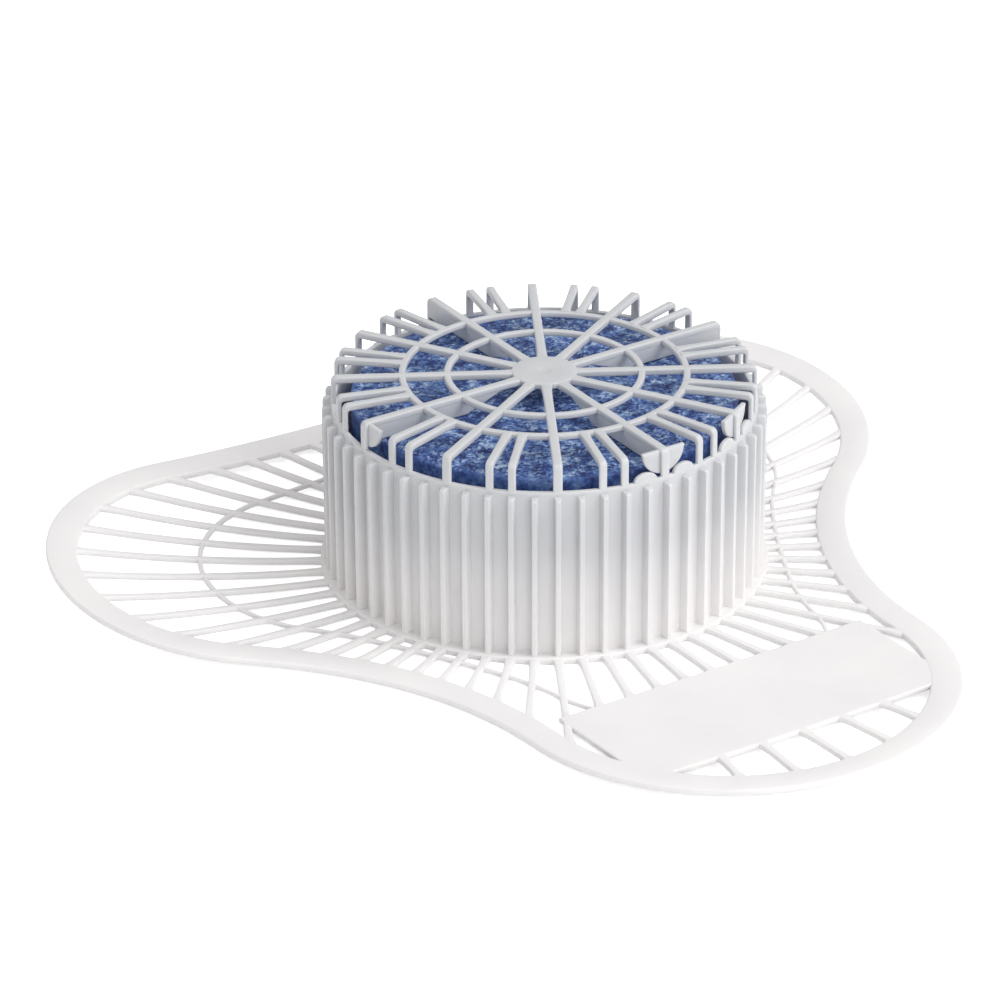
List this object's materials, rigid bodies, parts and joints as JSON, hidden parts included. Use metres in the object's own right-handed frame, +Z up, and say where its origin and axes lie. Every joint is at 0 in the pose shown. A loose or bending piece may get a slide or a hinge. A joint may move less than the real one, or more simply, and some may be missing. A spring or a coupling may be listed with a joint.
{
  "type": "urinal deodorizer screen",
  "caption": "Lobed flexible mat of radial bars with a bare label panel and a low ribbed round cage, whose open grille lid shows the deodorant block inside.",
  "frame": {"origin": "middle of the mat's length and width, at the level of the surface that it lies on", "axes": "+Z up through the cage, -Y towards the lobe with the label panel"},
  "size_m": [0.192, 0.1886, 0.0435],
  "materials": {
    "screen": "slightly translucent soft white moulding, satin",
    "deodorant_block": "pressed granular cake, mottled blue and white"
  },
  "bodies": {
    "root": {"screen": "screen", "deodorant_block": "deodorant_block"}
  },
  "joints": []
}
